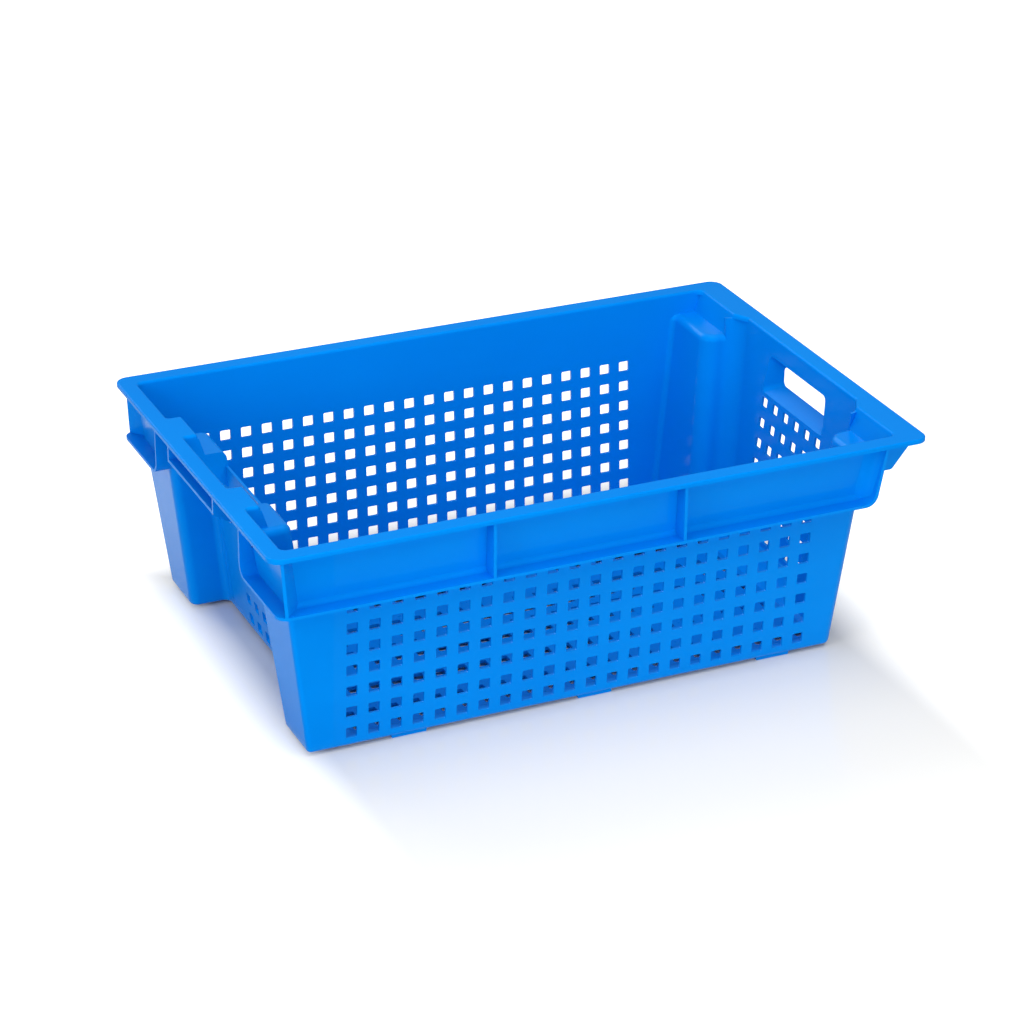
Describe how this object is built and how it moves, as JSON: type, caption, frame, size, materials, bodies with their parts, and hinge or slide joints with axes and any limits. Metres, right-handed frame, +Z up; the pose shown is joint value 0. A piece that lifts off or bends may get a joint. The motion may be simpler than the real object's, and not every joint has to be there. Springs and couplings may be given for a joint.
{
  "type": "stack and nest crate",
  "caption": "Open perforated plastic crate with tapered corner posts, stacking seats inside the rim, a ribbed collar below the rim and hand grips at its ends.",
  "frame": {"origin": "centre of the overall footprint, on the floor under the feet", "axes": "+X along the length to the bay end, +Y to the back, +Z up"},
  "size_m": [0.604, 0.4, 0.2],
  "materials": {
    "crate_plastic": "moulded, glossy"
  },
  "bodies": {
    "root": {"back_collar": "crate_plastic", "back_collar_ribs": "crate_plastic", "back_left_corner_rib": "crate_plastic", "back_left_post": "crate_plastic", "back_right_column": "crate_plastic", "back_right_seat": "crate_plastic", "back_wall": "crate_plastic", "base_feet": "crate_plastic", "base_grid": "crate_plastic", "base_tray": "crate_plastic", "front_collar": "crate_plastic", "front_collar_ribs": "crate_plastic", "front_left_corner_rib": "crate_plastic", "front_left_post": "crate_plastic", "front_right_column": "crate_plastic", "front_right_seat": "crate_plastic", "front_wall": "crate_plastic", "left_back_collar": "crate_plastic", "left_back_seat": "crate_plastic", "left_front_collar": "crate_plastic", "left_front_seat": "crate_plastic", "left_handle_bar": "crate_plastic", "left_recess_wall": "crate_plastic", "right_bay_wall": "crate_plastic", "right_collar": "crate_plastic", "right_hand_hole_frame": "crate_plastic", "rim_back": "crate_plastic", "rim_front": "crate_plastic", "rim_left": "crate_plastic", "rim_right": "crate_plastic"}
  },
  "joints": []
}
